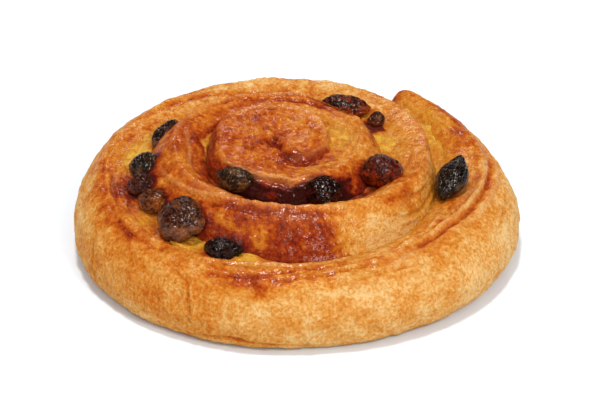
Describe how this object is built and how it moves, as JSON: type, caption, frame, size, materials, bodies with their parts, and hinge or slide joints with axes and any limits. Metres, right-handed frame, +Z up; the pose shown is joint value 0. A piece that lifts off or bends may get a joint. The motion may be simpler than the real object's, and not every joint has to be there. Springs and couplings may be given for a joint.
{
  "type": "pain aux raisins",
  "caption": "Coiled pastry: one wound strip of glazed laminated dough with custard between its turns and raisins in the creases.",
  "frame": {"origin": "middle of the bounding box at its underside, on the surface that the pastry stands on", "axes": "+Z up; -Y is the front, the side that the picture looks at; the cut tail of the strip is at the back right (+X, +Y)"},
  "size_m": [0.1072, 0.0982, 0.0276],
  "materials": {
    "baked_dough": "golden brown baked dough under a thin clear glaze",
    "custard": "set baked custard, slightly moist",
    "raisin_skin": "dark wrinkled sticky fruit skin"
  },
  "bodies": {
    "root": {"dough_coil": "baked_dough", "custard": "custard", "raisin_back_left": "raisin_skin", "raisin_left_rear": "raisin_skin", "raisin_left": "raisin_skin", "raisin_left_front": "raisin_skin", "raisin_large": "raisin_skin", "raisin_dark": "raisin_skin", "raisin_inner_left": "raisin_skin", "raisin_inner_front": "raisin_skin", "raisin_plump": "raisin_skin", "raisin_rear": "raisin_skin", "raisin_small": "raisin_skin", "raisin_right": "raisin_skin"}
  },
  "joints": []
}
